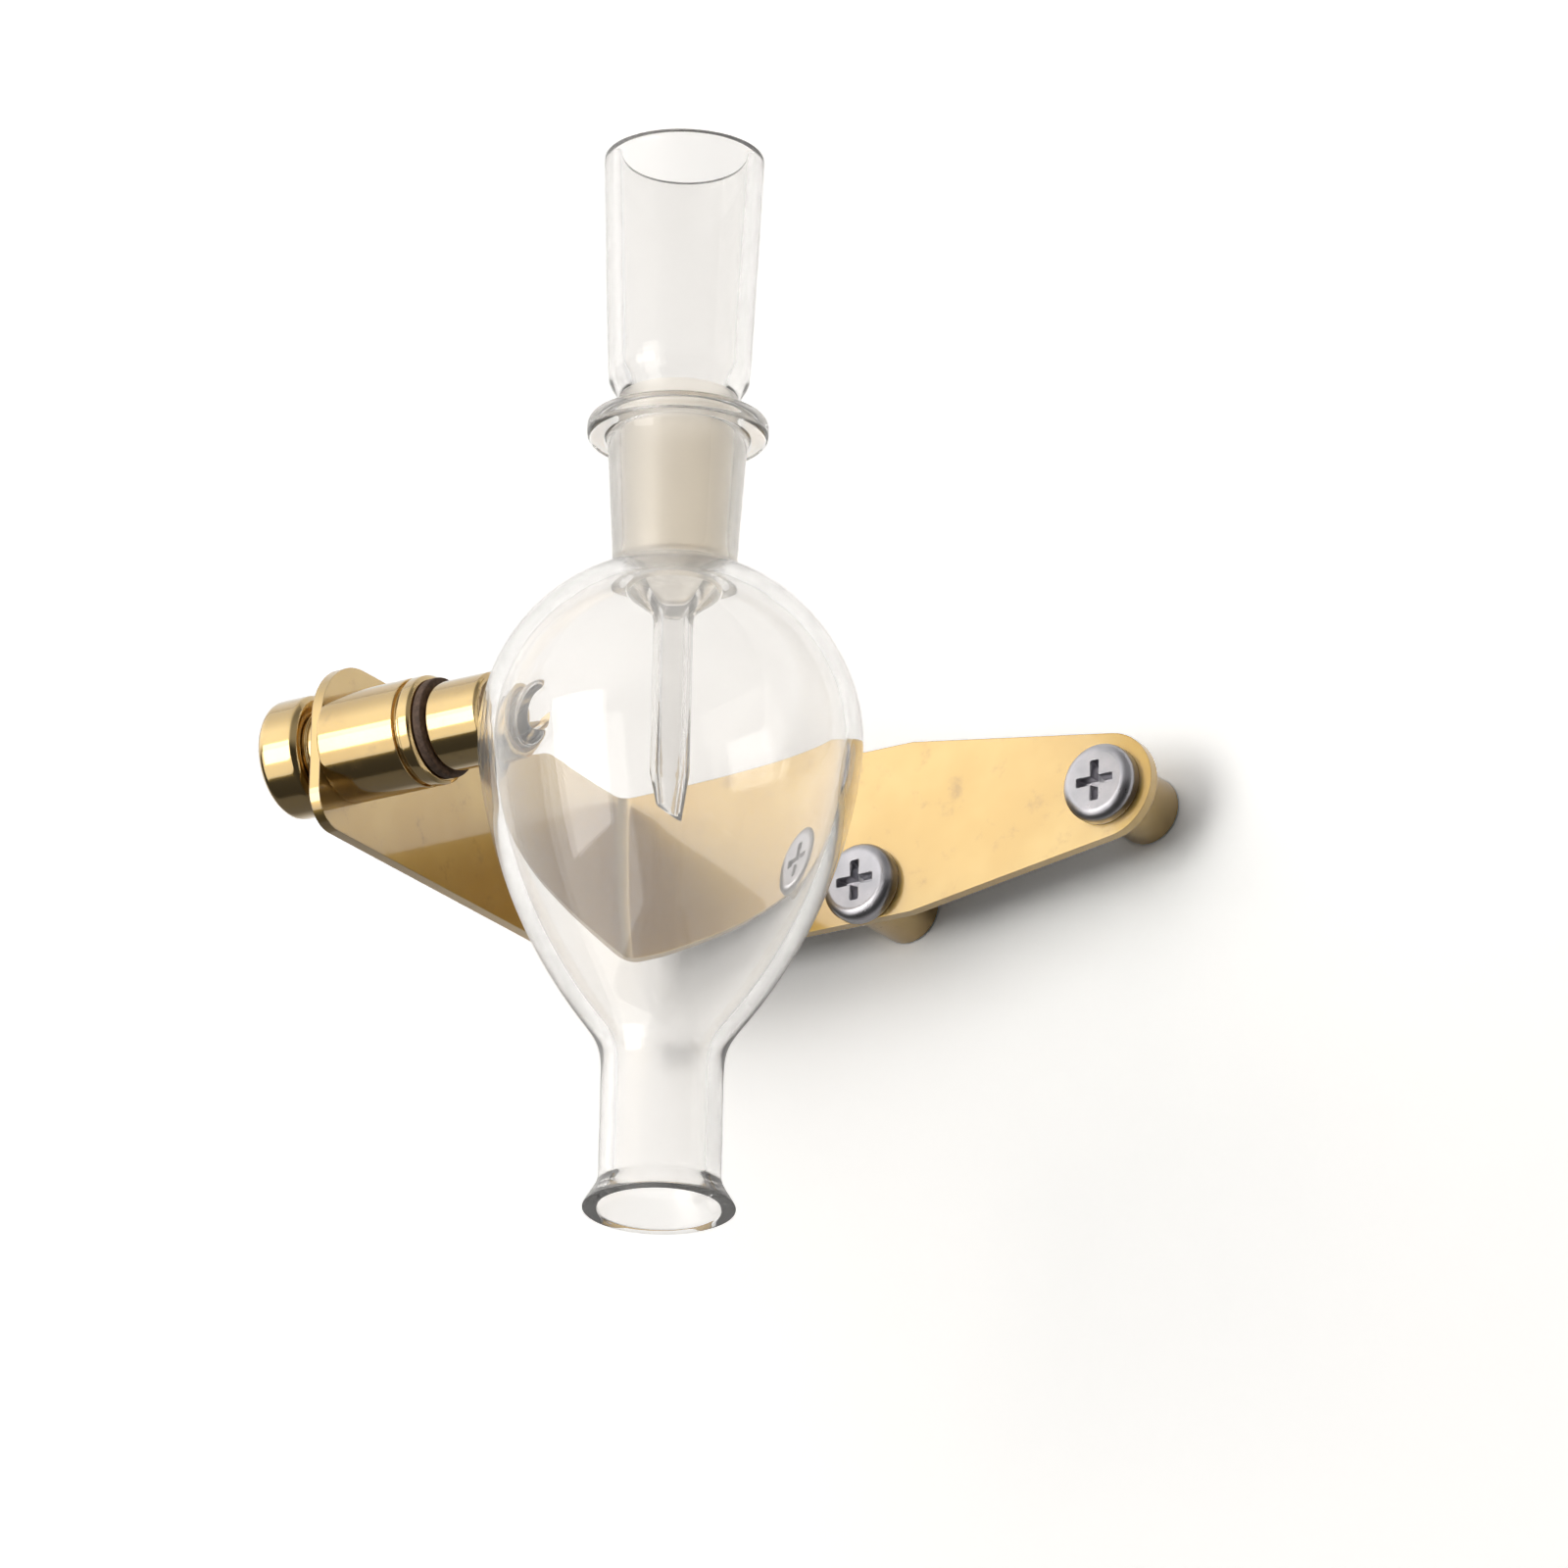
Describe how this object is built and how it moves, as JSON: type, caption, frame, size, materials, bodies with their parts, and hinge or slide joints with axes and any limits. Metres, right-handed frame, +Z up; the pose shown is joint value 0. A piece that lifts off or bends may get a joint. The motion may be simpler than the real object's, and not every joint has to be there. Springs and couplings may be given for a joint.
{
  "type": "wall-mounted glass dropping bulb",
  "caption": "Pear-shaped glass bulb with a ground neck, turning dropper plug and flared outlet tube, tilting on the clamp pivot of a folded brass wall bracket.",
  "frame": {"origin": "where the near wall screw's axis meets the wall", "axes": "+Y into the wall along the screws, +Z up along the glass, +X to the right along the wall as seen from the room"},
  "size_m": [0.0924, 0.1203, 0.1403],
  "materials": {
    "sheet_brass": "polished",
    "turned_brass": "polished",
    "clear_glass": "clear, ground at the joint",
    "steel": "bright zinc",
    "leather": "matte",
    "cork": "matte"
  },
  "bodies": {
    "wall_bracket": {"bracket": "sheet_brass", "pivot_boss": "turned_brass", "thrust_washer": "turned_brass", "near_screw": "steel", "far_screw": "steel", "near_spacer": "turned_brass", "far_spacer": "turned_brass"},
    "vessel": {"spindle": "turned_brass", "friction_washer": "leather", "stub_sleeve": "cork", "bulb_vessel": "clear_glass"},
    "knob": {"clamp_knob": "turned_brass"},
    "plug": {"dropper_plug": "clear_glass"}
  },
  "joints": [
    {"name": "vessel_tilt", "type": "hinge", "parent": "wall_bracket", "child": "vessel", "pos_m": [-0.035, -0.0693, 0.0067], "axis": [1, 0, 0], "range_deg": [-50, 50]},
    {"name": "knob_turn", "type": "hinge", "parent": "vessel", "child": "knob", "pos_m": [-0.045, -0.0693, 0.0067], "axis": [-1, 0, 0], "range_deg": [0, 360]},
    {"name": "plug_turn", "type": "hinge", "parent": "vessel", "child": "plug", "pos_m": [0.0095, -0.0693, 0.0411], "axis": [0, 0, 1], "continuous": true}
  ]
}
